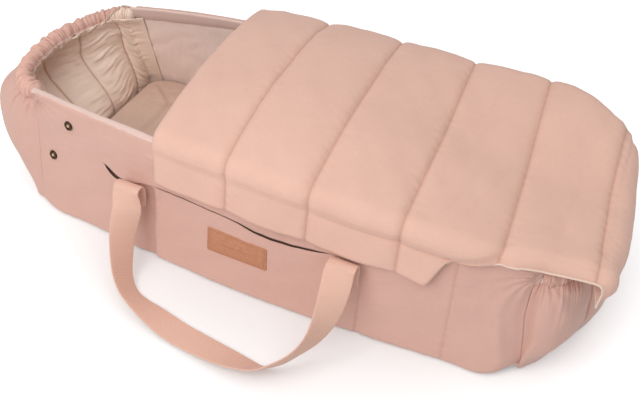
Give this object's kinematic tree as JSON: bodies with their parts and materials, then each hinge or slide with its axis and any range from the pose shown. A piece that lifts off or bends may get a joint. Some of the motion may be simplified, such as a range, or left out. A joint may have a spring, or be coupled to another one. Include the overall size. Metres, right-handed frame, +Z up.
{
  "type": "carrycot",
  "caption": "Soft-sided carrycot with rounded padded ends, gathered elastic rims, a channelled quilt that folds back, and a webbing carry handle on each side.",
  "frame": {"origin": "middle of the flat underside, on the floor", "axes": "+X runs along the length to the foot end, +Y to the side without the leather label, +Z up"},
  "size_m": [0.826, 0.5538, 0.219],
  "materials": {
    "dusty_pink": "woven cotton, matt, dusty pink",
    "quilt_pink": "soft cotton sateen, low sheen, warm dusty pink",
    "pale_lining": "pale pink cotton lining, matt",
    "beige_satin": "beige satin liner, low sheen",
    "pink_webbing": "fine woven webbing, matt, dusty pink",
    "tan_leather": "tan leather, stitched border, bare",
    "antique_brass": "dark antique brass",
    "grey_board": "stiffening board inside the wall",
    "white_foam": "mattress filling inside its cover",
    "white_elastic": "flat woven elastic"
  },
  "bodies": {
    "cot": {"base_panel": "dusty_pink", "base_board": "grey_board", "mattress_core": "white_foam", "mattress_cover": "beige_satin", "near_outer_panel": "dusty_pink", "near_pocket_panel": "dusty_pink", "near_side_board": "grey_board", "near_lining": "pale_lining", "near_rim_facing": "pale_lining", "near_upper_stud": "antique_brass", "near_upper_stud_back": "antique_brass", "near_lower_stud": "antique_brass", "near_lower_stud_back": "antique_brass", "near_head_strap_end": "pink_webbing", "near_foot_strap_end": "pink_webbing", "far_outer_panel": "dusty_pink", "far_pocket_panel": "dusty_pink", "far_side_board": "grey_board", "far_lining": "pale_lining", "far_rim_facing": "pale_lining", "far_upper_stud": "antique_brass", "far_upper_stud_back": "antique_brass", "far_lower_stud": "antique_brass", "far_lower_stud_back": "antique_brass", "far_head_strap_end": "pink_webbing", "far_foot_strap_end": "pink_webbing", "leather_label": "tan_leather", "head_end_panel": "dusty_pink", "head_end_lining": "beige_satin", "head_elastic_casing": "dusty_pink", "head_elastic": "white_elastic", "foot_end_panel": "dusty_pink", "foot_end_lining": "beige_satin", "foot_elastic_casing": "dusty_pink", "foot_elastic": "white_elastic", "quilt_foot": "quilt_pink"},
    "near_handle_body": {"near_handle": "pink_webbing"},
    "far_handle_body": {"far_handle": "pink_webbing"},
    "quilt_front_body": {"quilt_front": "quilt_pink"}
  },
  "joints": [
    {"name": "near_handle_swing", "type": "hinge", "parent": "cot", "child": "near_handle_body", "pos_m": [-0.0155, -0.171, 0.109], "axis": [-1, 0, 0], "range_deg": [0, 140]},
    {"name": "far_handle_swing", "type": "hinge", "parent": "cot", "child": "far_handle_body", "pos_m": [-0.0155, 0.171, 0.109], "axis": [1, 0, 0], "range_deg": [0, 140]},
    {"name": "quilt_fold_back", "type": "hinge", "parent": "cot", "child": "quilt_front_body", "pos_m": [0.2638, 0, 0.189], "axis": [-0.1044, 0.9945, 0], "range_deg": [0, 120]}
  ]
}
